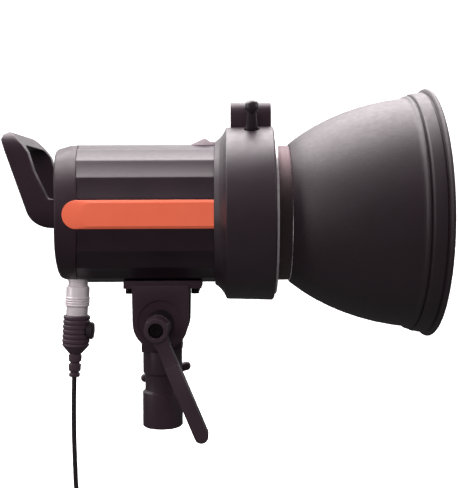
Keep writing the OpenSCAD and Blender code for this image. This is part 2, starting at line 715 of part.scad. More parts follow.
module plug_release() color(charcoal) at_inlet() translate([0, 0, -39]) rotate([0, 90, 0]) {
    translate([0, 0, 8]) cylinder(r = 6.4, h = 4, $fn = small);
    translate([0, 0, 12]) cylinder(r1 = 6.4, r2 = 5, h = 1.2, $fn = small);
}

relief_top = 56.25;
// Three tapering rings joined by a thin core.
module strain_relief() color(rubber) inlet_lathe([
    [0, relief_top], [4.2, relief_top], [4.2, 57], [4.85, 57.3], [4.7, 62.2], [3.4, 62.5], [3.4, 63.8],
    [4.65, 64.1], [4.45, 69.2], [3.2, 69.5], [3.2, 70.8], [4.2, 71.1], [3.9, 73.6], [0, 73.6]]);

// The lead's route below the strain relief, down to where it joins its coil.
lead_points = [[-65.1, -10, 38.8], [-65.3, -10, 30], [-65.5, -9.9, 20], [-65.6, -9.6, 8],
               [-65.6, -8.9, -6], [-65.6, -7, -20], [-65.6, -4.6, -32], [-65.6, -3.1, -41],
               [-65.2, -2.8, -46.5], [-64.6, -2.8, -50.2]];
lead_sides = 8;

// Sweeps a round section along points; each ring stands across the way to its neighbours.
module sweep(points, r, sides) {
    n = len(points);
    tangent = [for (i = [0:n - 1]) let (a = points[max(i - 1, 0)], b = points[min(i + 1, n - 1)])
        (b - a) / norm(b - a)];
    ring = [for (i = [0:n - 1], k = [0:sides - 1])
        let (t = tangent[i], u = cross([0, 1, 0], t) / norm(cross([0, 1, 0], t)), v = cross(t, u),
             a = 360 * k / sides)
        points[i] + r * (cos(a) * u + sin(a) * v)];
    faces = concat(
        [[for (k = [0:sides - 1]) k]],
        [for (i = [0:n - 2], k = [0:sides - 1])
            [i * sides + k, (i + 1) * sides + k,
             (i + 1) * sides + (k + 1) % sides, i * sides + (k + 1) % sides]],
        [[for (k = [sides - 1:-1:0]) (n - 1) * sides + k]]);
    polyhedron(ring, faces);
}

module lead() color(rubber) sweep(lead_points, lead_d / 2, lead_sides);

coil_centre = [-68.6, -2.8, -76];
tie_turn = 10;
coil_half_w = 7.2;
coil_half_h = 5.5;
module coil_frame() translate(coil_centre) rotate([90, 0, 0]) children();

module lead_coil() color(rubber) coil_frame() rotate_extrude($fn = fine)
    translate([coil_r, 0]) square([2 * coil_half_h, 2 * coil_half_w - 0.1], center = true);

module lead_tie() color("dimgray") coil_frame() rotate([0, 0, tie_turn]) translate([0, coil_r, 0])
difference() {
    cube([6, 2 * coil_half_h + 3, 2 * coil_half_w + 2.4], center = true);
    cube([7, 2 * coil_half_h + 1, 2 * coil_half_w + 0.4], center = true);
}

plug_top = -94.7;
module lead_plug() color(rubber) translate([coil_centre[0] + coil_r, coil_centre[1], plug_top]) {
    translate([0, 0, -12]) cylinder(r1 = 4.6, r2 = 2.4, h = 12, $fn = small);
    translate([0, 0, -28]) cylinder(r = 5.6, h = 16, $fn = small);
    translate([0, 0, -37.5]) cylinder(r = 2.75, h = 9.5, $fn = small);
}

// ---------------------------------------------------------------- drawing

stand_adapter();
stud_screw();
stud_pad();
yoke();
yoke_screws();
friction_washers();
clamp_nut();
clamp_stud();
clamp_lever();
lever_screw();
lever_spring();
body_tube();
rear_cap();
front_ring();
side_panel_near();
side_panel_far();
handle();
handle_screws();
sensor_window();
umbrella_holder();
umbrella_screw();
umbrella_pad();
lock_pin();
lock_spring();
bayonet_plate();
reflector_neck();
reflector_bowl();
reflector_rivets();
flash_dish();
flash_tube();
modelling_lamp();
glass_dome();
heat_sink();
chassis();
power_board();
capacitors();
trigger_coil();
control_board();
control_panel();
display_window();
control_dial();
dial_button();
menu_button();
sync_button();
test_button();
power_switch();
port_block();
fan_frame();
fan_rotor();
power_inlet();
plug_collar();
plug_boot();
plug_release();
strain_relief();
lead();
lead_coil();
lead_tie();
lead_plug();
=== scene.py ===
"""Looks of the monolight strobe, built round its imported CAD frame.

Lengths in the helpers are in millimetres, in the CAD frame: the origin is the mouth of the
stand socket, +Z is up and +X is the front of the lamp. new_piece() turns them into metres.
"""
import json
import math

import bmesh
import bpy
from mathutils import Matrix, Vector


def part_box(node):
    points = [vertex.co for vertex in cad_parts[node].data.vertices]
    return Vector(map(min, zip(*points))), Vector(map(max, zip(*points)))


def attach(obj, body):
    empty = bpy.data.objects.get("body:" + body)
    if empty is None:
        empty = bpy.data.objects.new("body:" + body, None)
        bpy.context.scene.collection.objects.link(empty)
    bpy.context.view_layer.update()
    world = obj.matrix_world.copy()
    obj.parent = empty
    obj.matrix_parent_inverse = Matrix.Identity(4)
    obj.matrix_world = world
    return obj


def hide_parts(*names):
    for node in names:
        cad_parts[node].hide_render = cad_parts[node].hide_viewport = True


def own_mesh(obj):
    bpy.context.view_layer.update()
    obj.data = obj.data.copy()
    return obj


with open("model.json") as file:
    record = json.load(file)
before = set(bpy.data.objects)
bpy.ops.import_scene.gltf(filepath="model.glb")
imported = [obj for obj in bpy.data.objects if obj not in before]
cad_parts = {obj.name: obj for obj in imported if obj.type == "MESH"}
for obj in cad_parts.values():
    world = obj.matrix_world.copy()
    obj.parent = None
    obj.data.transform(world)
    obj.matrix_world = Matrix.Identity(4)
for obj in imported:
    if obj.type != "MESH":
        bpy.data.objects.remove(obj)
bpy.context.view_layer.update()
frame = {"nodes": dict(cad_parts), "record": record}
record = frame["record"]
body_of_node = {n: b for b, nodes in record["behaviour"]["bodies"].items() for n in nodes}
slot_of_node = {s["node"]: s["material_slot"] for s in record["subparts"]}

MM = 0.001
TINY = 1e-6
QUARTER = math.radians(90)

# Driving dimensions of the lamp, as in the CAD.
AXIS_Z = 160.0
PIVOT_Z = 80.0
TUBE_R = 51.8
TUBE_FRONT = 40.0
SEAM_X = -61.7
CAP_REAR = -77.5
INLET_Y = -10.0


# ------------------------------------------------------------------ camera and lights

# The eye is 9 mm above the lamp's axis and 636 mm to the side of its middle plane.
EYE = Vector((50.6, -636.0, 169.0))
EYE_ROLL = math.radians(-0.25)
FOCAL_MM = 62.04
SENSOR_MM = 36.0
SHIFT_Y = -0.088

WORLD_COLOUR = (1.0, 0.97, 0.985, 1)
WORLD_STRENGTH = 0.1
LIGHT_COLOUR = (1.0, 0.93, 0.95)
LIGHT_AIM = Vector((0.05, 0.0, 0.16))
# Soft boxes, in metres: name, place, size, power in watts, and whether they show in reflections.
LIGHTS = [("top", (-0.1, 0.35, 1.2), (1.8, 1.15), 44.0, True),
          ("front", (-0.2, -1.5, 0.9), (1.2, 1.0), 22.0, False),
          ("right", (1.4, -0.3, 0.6), (0.6, 0.9), 3.0, True),
          ("left", (-1.2, -0.5, 0.5), (0.4, 0.9), 3.5, True)]

# The stage, in metres.
FLOOR_Z = -0.16
FLOOR_FRONT = -3.0
WALL_Y = 1.5
WALL_TOP = 3.5
BEND_R = 0.5
BEND_STEPS = 12
STAGE_HALF = 4.0
STAGE_GLOW = 0.75


def make_camera():
    data = bpy.data.cameras.new("camera")
    data.lens = FOCAL_MM
    data.sensor_width = SENSOR_MM
    data.shift_y = SHIFT_Y
    camera = bpy.data.objects.new("camera", data)
    camera.matrix_world = (Matrix.Translation(EYE * MM) @ Matrix.Rotation(QUARTER, 4, "X")
                           @ Matrix.Rotation(EYE_ROLL, 4, "Z"))
    bpy.context.collection.objects.link(camera)
    bpy.context.scene.camera = camera


def area_light(name, place, size, power, shows):
    data = bpy.data.lights.new(name, "AREA")
    data.shape = "RECTANGLE"
    data.size, data.size_y = size
    data.energy = power
    data.color = LIGHT_COLOUR
    light = bpy.data.objects.new(name, data)
    light.location = place
    light.visible_glossy = shows
    light.rotation_euler = (LIGHT_AIM - Vector(place)).to_track_quat("-Z", "Y").to_euler()
    bpy.context.collection.objects.link(light)


def stage_sheet(name, rows, lights_object):
    """A pale sheet swept along X through (y, z) rows."""
    verts = [(x, y, z) for y, z in rows for x in (-STAGE_HALF, STAGE_HALF)]
    faces = [(2 * i, 2 * i + 1, 2 * i + 3, 2 * i + 2) for i in range(len(rows) - 1)]
    mesh = bpy.data.meshes.new(name)
    mesh.from_pydata(verts, [], faces)
    mesh.shade_smooth()
    sheet = bpy.data.objects.new(name, mesh)
    bpy.context.collection.objects.link(sheet)
    paint = bpy.data.materials.new(name)
    paint.use_nodes = True
    shader = paint.node_tree.nodes["Principled BSDF"]
    shader.inputs["Base Color"].default_value = (0.9, 0.9, 0.9, 1)
    shader.inputs["Roughness"].default_value = 0.9
    shader.inputs["Specular IOR Level"].default_value = 0.0
    shader.inputs["Emission Color"].default_value = (1, 1, 1, 1)
    shader.inputs["Emission Strength"].default_value = STAGE_GLOW
    mesh.materials.append(paint)
    sheet.visible_diffuse = lights_object
    sheet.visible_glossy = lights_object


def make_stage():
    """A white sweep: its wall lights the object softly from behind, its floor doesn't."""
    floor = [(FLOOR_FRONT, FLOOR_Z)]
    for step in range(BEND_STEPS + 1):
        a = QUARTER * step / BEND_STEPS
        floor.append((WALL_Y - BEND_R + BEND_R * math.sin(a), FLOOR_Z + BEND_R * (1 - math.cos(a))))
    stage_sheet("floor", floor, False)
    stage_sheet("wall", [floor[-1], (WALL_Y, WALL_TOP)], True)
    world = bpy.data.worlds.new("studio")
    world.use_nodes = True
    background = world.node_tree.nodes["Background"]
    background.inputs["Color"].default_value = WORLD_COLOUR
    background.inputs["Strength"].default_value = WORLD_STRENGTH
    bpy.context.scene.world = world
    for name, place, size, power, shows in LIGHTS:
        area_light(name, place, size, power, shows)
    bpy.context.scene.view_settings.view_transform = "Standard"


# ------------------------------------------------------------------ materials

materials = {}


def srgb(r, g, b):
    """A linear colour from 0 to 255 display values."""
    shares = [c / 255 for c in (r, g, b)]
    return tuple(c / 12.92 if c <= 0.04045 else ((c + 0.055) / 1.055) ** 2.4 for c in shares) + (1.0,)


class Nodes:
    """Short calls for building one material's node tree."""

    def __init__(self, name):
        self.material = bpy.data.materials.new(name)
        self.material.use_nodes = True
        self.tree = self.material.node_tree
        self.shader = self.tree.nodes["Principled BSDF"]
        self.coords = self.add("ShaderNodeTexCoord").outputs["Object"]
        materials[name] = self.material

    def add(self, kind, **settings):
        node = self.tree.nodes.new(kind)
        for key, value in settings.items():
            if key.startswith("in_"):
                node.inputs[key[3:].replace("_", " ")].default_value = value
            else:
                setattr(node, key, value)
        return node

    def link(self, a, b):
        self.tree.links.new(a, b)

    def noise(self, size_mm, detail=3.0, stretch=(1, 1, 1)):
        """Noise whose features are about size_mm across."""
        mapping = self.add("ShaderNodeMapping")
        mapping.inputs["Scale"].default_value = stretch
        self.link(self.coords, mapping.inputs["Vector"])
        node = self.add("ShaderNodeTexNoise", in_Scale=1.0 / (size_mm * MM), in_Detail=detail)
        self.link(mapping.outputs["Vector"], node.inputs["Vector"])
        return node.outputs["Fac"]

    def vary(self, socket, source, low, high, start=0.3, end=0.7):
        ramp = self.add("ShaderNodeMapRange")
        for key, value in (("From Min", start), ("From Max", end), ("To Min", low), ("To Max", high)):
            ramp.inputs[key].default_value = value
        self.link(source, ramp.inputs["Value"])
        self.link(ramp.outputs["Result"], self.shader.inputs[socket])

    def tint(self, source, a, b, start=0.3, end=0.7):
        ramp = self.add("ShaderNodeValToRGB")
        ramp.color_ramp.elements[0].position, ramp.color_ramp.elements[0].color = start, a
        ramp.color_ramp.elements[1].position, ramp.color_ramp.elements[1].color = end, b
        self.link(source, ramp.inputs["Fac"])
        self.link(ramp.outputs["Color"], self.shader.inputs["Base Color"])

    def bump(self, layers):
        """layers: (height source, depth in mm), laid one on the other."""
        normal = None
        for source, depth in layers:
            node = self.add("ShaderNodeBump", in_Strength=1.0, in_Distance=depth * MM)
            self.link(source, node.inputs["Height"])
            if normal:
                self.link(normal, node.inputs["Normal"])
            normal = node.outputs["Normal"]
        self.link(normal, self.shader.inputs["Normal"])

    def set(self, **values):
        for key, value in values.items():
            self.shader.inputs[key.replace("_", " ")].default_value = value


def shade(colour, factor):
    return tuple(min(1.0, c * factor) for c in colour[:3]) + (1.0,)


def moulded(name, colour, rough, grain_mm=0.35, depth=0.012, spread=0.05, **values):
    """Moulded plastic or rubber: fine spark-eroded grain, slight blotches of sheen."""
    n = Nodes(name)
    n.tint(n.noise(18, 4), shade(colour, 0.9), shade(colour, 1.1))
    n.vary("Roughness", n.noise(6, 5), rough - spread, rough + spread)
    n.bump([(n.noise(grain_mm, 2), depth), (n.noise(9, 2), depth * 1.5)])
    n.set(**values)


def coated(name, colour, rough, grain_mm=0.5, depth=0.02, metallic=0.0, spread=0.06, **values):
    """Powder-coated or enamelled metal: soft orange peel and a little handling wear."""
    n = Nodes(name)
    n.tint(n.noise(25, 5), shade(colour, 0.88), shade(colour, 1.12))
    n.vary("Roughness", n.noise(4, 6), rough - spread, rough + spread)
    n.bump([(n.noise(grain_mm, 3), depth), (n.noise(2.2, 2), depth)])
    n.set(Metallic=metallic, **values)


def turned(name, colour, rough, axis="X", metallic=1.0, depth=0.008):
    """Turned or drawn metal: fine rings round the given axis."""
    n = Nodes(name)
    stretch = {"X": (1, 0.02, 0.02), "Y": (0.02, 1, 0.02), "Z": (0.02, 0.02, 1)}[axis]
    lines = n.noise(0.25, 2, stretch)
    n.tint(n.noise(10, 3), shade(colour, 0.92), shade(colour, 1.06))
    n.vary("Roughness", lines, rough - 0.06, rough + 0.08)
    n.bump([(lines, depth)])
    n.set(Metallic=metallic)


def clear(name, colour, rough, transmission=1.0):
    """Glass, evenly polished or frosted."""
    n = Nodes(name)
    n.tint(n.noise(15, 2), shade(colour, 0.97), colour)
    n.vary("Roughness", n.noise(0.3, 3), max(0.0, rough - 0.05), rough + 0.05)
    n.set(Transmission_Weight=transmission, IOR=1.46)


def orange_panel():
    """The painted side panel under a thin clear coat."""
    n = Nodes("orange_panel")
    n.tint(n.noise(30, 3), srgb(236, 110, 78), srgb(242, 116, 84))
    n.vary("Roughness", n.noise(5, 4), 0.33, 0.42)
    n.bump([(n.noise(0.4, 2), 0.004), (n.noise(14, 1), 0.01)])
    n.set(Coat_Weight=0.3, Coat_Roughness=0.2)


def bowl_inside():
    """Bright hammered reflector finish."""
    n = Nodes("bowl_inside")
    n.tint(n.noise(20, 3), srgb(212, 212, 214), srgb(226, 226, 228))
    n.vary("Roughness", n.noise(3, 3), 0.22, 0.3)
    n.bump([(n.noise(2.4, 0.5), 0.16), (n.noise(0.5, 2), 0.01)])
    n.set(Metallic=1.0)


def tie_strap():
    """Hook-and-loop strap: a dull, hairy weave."""
    n = Nodes("tie_strap")
    n.tint(n.noise(0.6, 2), srgb(30, 30, 33), srgb(52, 50, 54))
    n.vary("Roughness", n.noise(1, 3), 0.75, 0.9)
    n.bump([(n.noise(0.35, 4), 0.12)])
    n.set(Sheen_Weight=0.3)


def make_materials():
    coated("tube_finish", srgb(36, 25, 32), 0.42, 0.3, 0.006, spread=0.03)
    moulded("satin_plastic", srgb(42, 30, 37), 0.45, 0.28, 0.008, Specular_IOR_Level=0.4)
    moulded("ring_plastic", srgb(38, 27, 34), 0.46, 0.28, 0.005, Specular_IOR_Level=0.9)
    coated("bowl_outside", srgb(32, 21, 27), 0.54, 0.8, 0.07, spread=0.04, Specular_IOR_Level=1.0)
    coated("cast_metal", srgb(48, 35, 43), 0.44, 0.5, 0.03)
    coated("lever_metal", srgb(50, 38, 45), 0.4, 0.4, 0.02, Specular_IOR_Level=0.7)
    coated("black_steel", srgb(26, 21, 24), 0.35, 0.4, 0.01, metallic=0.6)
    turned("dark_steel", srgb(84, 74, 82), 0.34, "Y")
    turned("neck_metal", srgb(122, 108, 110), 0.66, "X")
    turned("bright_steel", srgb(215, 210, 214), 0.26, "X", metallic=0.7)
    turned("inlet_metal", srgb(250, 243, 246), 0.4, "Z", metallic=0.45, depth=0.003)
    coated("pin_metal", srgb(38, 30, 35), 0.3, 0.4, 0.006, Coat_Weight=0.4, Coat_Roughness=0.15)
    orange_panel()
    moulded("orange_button", srgb(214, 92, 62), 0.4, 0.3, 0.006, Coat_Weight=0.2)
    moulded("sensor_plastic", srgb(196, 184, 190), 0.22, 0.5, 0.003, Coat_Weight=0.6, Coat_Roughness=0.08,
            Transmission_Weight=0.25)
    moulded("knob_plastic", srgb(32, 27, 30), 0.42, 0.3, 0.01)
    moulded("nylon", srgb(226, 220, 208), 0.5, 0.4, 0.006, Subsurface_Weight=0.1)
    moulded("boot_rubber", srgb(64, 50, 58), 0.5, 0.22, 0.01)
    moulded("plug_plastic", srgb(40, 33, 38), 0.42, 0.3, 0.012)
    moulded("lead_jacket", srgb(36, 30, 35), 0.45, 0.5, 0.008)
    moulded("panel_black", srgb(26, 25, 27), 0.3, 0.3, 0.004, Coat_Weight=0.4, Coat_Roughness=0.12)
    moulded("button_rubber", srgb(88, 84, 88), 0.6, 0.25, 0.01)
    moulded("switch_red", srgb(150, 30, 24), 0.3, 0.4, 0.004, Coat_Weight=0.3)
    moulded("fan_black", srgb(24, 24, 26), 0.5, 0.4, 0.01)
    moulded("white_ceramic", srgb(240, 238, 232), 0.35, 0.4, 0.004, Coat_Weight=0.3)
    moulded("circuit_board", srgb(18, 74, 40), 0.35, 0.8, 0.02, Coat_Weight=0.3)
    moulded("capacitor_sleeve", srgb(30, 34, 74), 0.25, 0.6, 0.006, Coat_Weight=0.4)
    moulded("coil_wrap", srgb(190, 140, 40), 0.35, 0.5, 0.02, Coat_Weight=0.3)
    moulded("lamp_phosphor", srgb(238, 204, 84), 0.3, 0.4, 0.004, Coat_Weight=0.8)
    moulded("fibre", srgb(140, 128, 108), 0.7, 0.3, 0.03)
    turned("brass_pad", srgb(190, 150, 88), 0.35, "Y")
    turned("aluminium_fins", srgb(200, 200, 203), 0.38, "X")
    turned("port_metal", srgb(170, 170, 174), 0.25, "X")
    clear("frosted_glass", srgb(246, 246, 244), 0.32)
    clear("quartz", srgb(246, 244, 236), 0.06)
    clear("display_glass", srgb(40, 46, 50), 0.08, transmission=0.2)
    bowl_inside()
    tie_strap()


# ------------------------------------------------------------------ mesh helpers

ALONG_X = Matrix.Translation((0, 0, AXIS_Z)) @ Matrix.Rotation(QUARTER, 4, "Y")
BEVEL_ANGLE = math.radians(32)


def new_piece(name, verts, faces, material, sharp=35, place=None, second=None):
    """A mesh object from millimetre vertices; second is (material, face numbers)."""
    place = place or Matrix.Identity(4)
    mesh = bpy.data.meshes.new(name)
    mesh.from_pydata([(place @ Vector(v)) * MM for v in verts], [], faces)
    mesh.materials.append(materials[material])
    if second:
        mesh.materials.append(materials[second[0]])
        for i in second[1]:
            mesh.polygons[i].material_index = 1
    obj = bpy.data.objects.new(name, mesh)
    bpy.context.collection.objects.link(obj)
    tidy_mesh(obj, sharp)
    return obj


def tidy_mesh(obj, sharp=35):
    """Merges doubled points, turns faces outwards and marks edges sharper than that many degrees."""
    bm = bmesh.new()
    bm.from_mesh(obj.data)
    bmesh.ops.remove_doubles(bm, verts=bm.verts, dist=TINY)
    bmesh.ops.dissolve_degenerate(bm, edges=bm.edges, dist=TINY / 10)
    bmesh.ops.recalc_face_normals(bm, faces=bm.faces)
    bm.to_mesh(obj.data)
    bm.free()
    obj.data.shade_smooth()
    obj.data.set_sharp_from_angle(angle=math.radians(sharp))


def apply_modifiers(obj, sharp=35):
    depsgraph = bpy.context.evaluated_depsgraph_get()
    mesh = bpy.data.meshes.new_from_object(obj.evaluated_get(depsgraph))
    obj.modifiers.clear()
    obj.data = mesh
    obj.data.shade_smooth()
    obj.data.set_sharp_from_angle(angle=math.radians(sharp))


def settle(obj, slot, *nodes):
    """obj stands for the CAD nodes and rides on their body."""
    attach(obj, body_of_node[nodes[0]])
    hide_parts(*nodes)
    return obj


def rounded(points, radius, steps=4, closed=False):
    """The points with their corners rounded by arcs of that radius, or less on a short side.

    Corners that turn by less than nearly_straight or more than nearly_back radians stay sharp."""
    nearly_straight, nearly_back, longest_back = 0.12, 3.0, 0.45
    count = len(points)
    out = []
    for i, p in enumerate(points):
        if not closed and i in (0, count - 1):
            out.append(tuple(p))
            continue
        p = Vector(p)
        a, b = Vector(points[i - 1]) - p, Vector(points[(i + 1) % count]) - p
        if a.length < TINY or b.length < TINY:
            continue
        turn = math.pi - a.angle(b)
        if not nearly_straight <= turn <= nearly_back:
            out.append(tuple(p))
            continue
        back = min(radius * math.tan(turn / 2), longest_back * a.length, longest_back * b.length)
        start, end = p + a.normalized() * back, p + b.normalized() * back
        for k in range(steps + 1):
            t = k / steps
            out.append(tuple((1 - t) ** 2 * start + 2 * t * (1 - t) * p + t * t * end))
    return out


def lathe(name, profile, material, place=None, segments=128, sharp=35, closed=False, second=None):
    """A solid of revolution about local Z; profile is (radius, height) in order along the outline.

    second is (material, test of (radius, height)) for faces whose middle passes the test."""
    angles = [2 * math.pi * k / segments for k in range(segments)]
    rings, verts, faces, marked = [], [], [], []
    for r, h in profile:
        if r < TINY:
            rings.append([len(verts)])
            verts.append((0, 0, h))
        else:
            rings.append(list(range(len(verts), len(verts) + segments)))
            verts += [(r * math.cos(a), r * math.sin(a), h) for a in angles]
    pairs = [(i, i + 1) for i in range(len(rings) - 1)]
    if closed:
        pairs.append((len(rings) - 1, 0))
    for i, j in pairs:
        a, b = rings[i], rings[j]
        if len(a) == 1 and len(b) == 1:
            continue
        middle = [(profile[i][k] + profile[j][k]) / 2 for k in (0, 1)]
        passes = second and second[1](*middle)
        for k in range(segments):
            n = (k + 1) % segments
            if passes:
                marked.append(len(faces))
            if len(a) == 1:
                faces.append((a[0], b[n], b[k]))
            elif len(b) == 1:
                faces.append((a[k], a[n], b[0]))
            else:
                faces.append((a[k], a[n], b[n], b[k]))
    return new_piece(name, verts, faces, material, sharp, place, (second[0], marked) if second else None)


def loft(name, loops, material, sharp=35, place=None, caps=True):
    """A skin through closed loops of equal length, with flat ends."""
    n = len(loops[0])
    verts = [v for loop in loops for v in loop]
    faces = [(i * n + k, i * n + (k + 1) % n, (i + 1) * n + (k + 1) % n, (i + 1) * n + k)
             for i in range(len(loops) - 1) for k in range(n)]
    if caps:
        faces += [tuple(range(n)), tuple(range((len(loops) - 1) * n, len(loops) * n))]
    return new_piece(name, verts, faces, material, sharp, place)


def bevel_edges(obj, width, segments=2, sharp=35):
    mod = obj.modifiers.new("edges", "BEVEL")
    mod.width = width * MM
    mod.segments = segments
    mod.limit_method = "ANGLE"
    mod.angle_limit = BEVEL_ANGLE
    mod.use_clamp_overlap = True
    apply_modifiers(obj, sharp)
    return obj


def cut(obj, *tools, sharp=35, operation="DIFFERENCE"):
    """Cuts the tools from obj, or with INTERSECT keeps what lies inside them, and deletes them."""
    for tool in tools:
        mod = obj.modifiers.new("cut", "BOOLEAN")
        mod.operation = operation
        mod.solver = "EXACT"
        mod.object = tool
    apply_modifiers(obj, sharp)
    for tool in tools:
        bpy.data.objects.remove(tool)
    return obj


def box_tool(x0, x1, y0, y1, z0, z1):
    loop = [(x0, y0), (x1, y0), (x1, y1), (x0, y1)]
    return loft("tool", [[(x, y, z) for x, y in loop] for z in (z0, z1)], "satin_plastic")


def rod_tool(place, r, length, segments=48):
    return lathe("tool", [(0, 0), (r, 0), (r, length), (0, length)], "satin_plastic", place, segments)


def bar_tool(outline, x0, x1):
    """An outline of (Y, height over the axis), run along X."""
    return loft("tool", [[(x, y, AXIS_Z + h) for y, h in outline] for x in (x0, x1)], "satin_plastic")


def dressed(node, bevel, material):
    """A CAD node's shape as a new piece, its sharp edges rounded."""
    obj = bpy.data.objects.new(node + "_made", frame["nodes"][node].data.copy())
    bpy.context.collection.objects.link(obj)
    bm = bmesh.new()
    bm.from_mesh(obj.data)
    bmesh.ops.remove_doubles(bm, verts=bm.verts, dist=2 * TINY)
    bmesh.ops.dissolve_limit(bm, verts=bm.verts, edges=bm.edges, angle_limit=math.radians(0.6))
    bm.to_mesh(obj.data)
    bm.free()
    for attribute in ("custom_normal", "sharp_face", "sharp_edge"):
        if attribute in obj.data.attributes:
            obj.data.attributes.remove(obj.data.attributes[attribute])
    obj.data.materials.clear()
    obj.data.materials.append(materials[material])
    bevel_edges(obj, bevel, sharp=40)
    return settle(obj, slot_of_node[node], node)


def finish_node(node, material):
    """A CAD node whose shape is right gets its material."""
    obj = frame["nodes"][node]
    if not obj.material_slots:
        obj.data.materials.append(materials[material])
    for s in obj.material_slots:
        s.material = materials[material]


# ------------------------------------------------------------------ the lead

LEAD_R = 1.8
LEAD_ROUTE = [(-65.1, -10, 38.8), (-65.3, -10, 30), (-65.5, -9.9, 20), (-65.6, -9.6, 8),
              (-65.6, -8.9, -6), (-65.6, -7, -20), (-65.6, -4.6, -32), (-65.6, -3.1, -41),
              (-65.2, -2.8, -46.5), (-64.6, -2.8, -50.2)]
COIL = Vector((-68.6, -2.8, -76.0))
COIL_R = 20.0
COIL_PITCH = 3.65
COIL_LAYERS = 3
COIL_ROWS = 4
COIL_JOIN = 60.0        # degrees, where the lead meets its coil
STEP_OVER = 0.2         # the part of a turn in which the lead moves over to the next place
POINTS_A_TURN = 24
PLUG_TOP = -95.6


def coil_slots():
    """Offsets of each turn from the coil's middle, (outwards, along Y), innermost layer last."""
    slots = []
    for layer in range(COIL_LAYERS):
        out = (layer - (COIL_LAYERS - 1) / 2) * COIL_PITCH
        rows = [(row - (COIL_ROWS - 1) / 2) * COIL_PITCH for row in range(COIL_ROWS)]
        if layer % 2:
            rows.reverse()
        slots += [(out, along) for along in rows]
    return slots[::-1]


def lead_points():
    """The lead's way from its strain relief down into the coil and out to the plug.

    The first place in the coil's outer layer stays empty."""
    points = [Vector(p) for p in LEAD_ROUTE]
    slots = coil_slots()[1:]
    whole_turns = len(slots) - 1
    steps = whole_turns * POINTS_A_TURN + int(COIL_JOIN / 360 * POINTS_A_TURN)
    for i in range(steps + 1):
        turn = i / POINTS_A_TURN
        k = min(int(turn), len(slots) - 1)
        n = min(k + 1, len(slots) - 1)
        part = max(0.0, (turn - k - (1 - STEP_OVER)) / STEP_OVER)
        part = part * part * (3 - 2 * part)
        out, along = (slots[k][j] * (1 - part) + slots[n][j] * part for j in (0, 1))
        a = math.radians(COIL_JOIN) - 2 * math.pi * turn
        points.append(COIL + Vector(((COIL_R + out) * math.cos(a), along, (COIL_R + out) * math.sin(a))))
    last = points[-1]
    tail_x = COIL.x + COIL_R
    points += [Vector((last.x - 0.1, last.y * 0.6 + COIL.y * 0.4, last.z - 6)),
               Vector((tail_x, COIL.y, last.z - 13)),
               Vector((tail_x, COIL.y, PLUG_TOP))]
    return points


def make_lead():
    points = lead_points()
    data = bpy.data.curves.new("lead_wire", "CURVE")
    data.dimensions = "3D"
    data.bevel_depth = LEAD_R * MM
    data.bevel_resolution = 5
    data.resolution_u = 3
    spline = data.splines.new("BEZIER")
    spline.bezier_points.add(len(points) - 1)
    for b, p in zip(spline.bezier_points, points):
        b.co = p * MM
        b.handle_left_type = b.handle_right_type = "AUTO"
    data.materials.append(materials["lead_jacket"])
    wire = bpy.data.objects.new("lead_wire", data)
    bpy.context.collection.objects.link(wire)
    settle(wire, "lead_jacket", "lead", "lead_coil")
    plug = make_plug()
    tie = make_tie()
    relief = make_strain_relief()


def make_plug():
    """A barrel plug: tip, grip and a ribbed boot; heights are measured from the boot's mouth."""
    low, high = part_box("lead_plug")
    x, y, top = (low.x + high.x) / 2 / MM, (low.y + high.y) / 2 / MM, high.z / MM
    grip = [(0, -37.5), (0.9, -37.5), (0.9, -30), (2.75, -37.5), (2.75, -28), (5.2, -28), (5.6, -27),
            (5.6, -18), (5.2, -17.6), (5.2, -16.6), (5.6, -16.2), (5.6, -12.2)]
    ribs = []
    for k in range(5):
        foot = -11.4 + 1.9 * k
        ribs += [(4.5 - 0.1 * k, foot), (4.5 - 0.1 * k, foot + 0.9),
                 (3.9 - 0.32 * k, foot + 1.1), (3.9 - 0.32 * k, foot + 1.8)]
    profile = rounded(grip + ribs + [(2.5, -0.8), (2.2, 0), (0, 0)], 0.35, 3)
    plug = lathe("lead_plug_made", profile, "plug_plastic", Matrix.Translation((x, y, top)), 64,
                 second=("inlet_metal", lambda r, h: h < -28.2))
    return settle(plug, "plug_plastic", "lead_plug")


def make_tie():
    """A hook-and-loop strap round the coil, one end lapped over the other."""
    half_r, half_w, thick, width = 6.0, 7.7, 0.9, 6.0
    turns, start, lap, squareness, steps = 1.08, -0.5, 0.1, 5, 40
    loops = []
    for i in range(steps + 1):
        t = i / steps
        a = 2 * math.pi * turns * t + start
        c, s = math.cos(a), math.sin(a)
        lift = thick * max(0.0, t - 1 + lap) / lap
        grow = (abs(c) ** squareness + abs(s) ** squareness) ** (-1 / squareness)
        inner = (half_r * grow * c + lift * c, half_w * grow * s + lift * s)
        outer = (inner[0] + thick * c, inner[1] + thick * s)
        loops.append([(-width / 2, inner[1], inner[0]), (width / 2, inner[1], inner[0]),
                      (width / 2, outer[1], outer[0]), (-width / 2, outer[1], outer[0])])
    place = (Matrix.Translation(COIL) @ Matrix.Rotation(math.radians(-10), 4, "Y")
             @ Matrix.Translation((0, 0, COIL_R)))
    tie = loft("lead_tie_made", loops, "tie_strap", place=place)
    return settle(bevel_edges(tie, 0.2, 1), "tie_strap", "lead_tie")


# ------------------------------------------------------------------ power connector

INLET_LEAN = math.radians(2.6)
AT_INLET = Matrix.Translation((SEAM_X, INLET_Y, AXIS_Z - 47.5)) @ Matrix.Rotation(INLET_LEAN, 4, "Y")
AT_PAD = AT_INLET @ Matrix.Translation((0, 0, -39)) @ Matrix.Rotation(QUARTER, 4, "Y")
PAD_R = 6.4
PAD_POCKET_R = 6.7


def down(profile):
    """A profile given as (radius, depth below the inlet) as (radius, height)."""
    return [(r, -d) for r, d in profile]


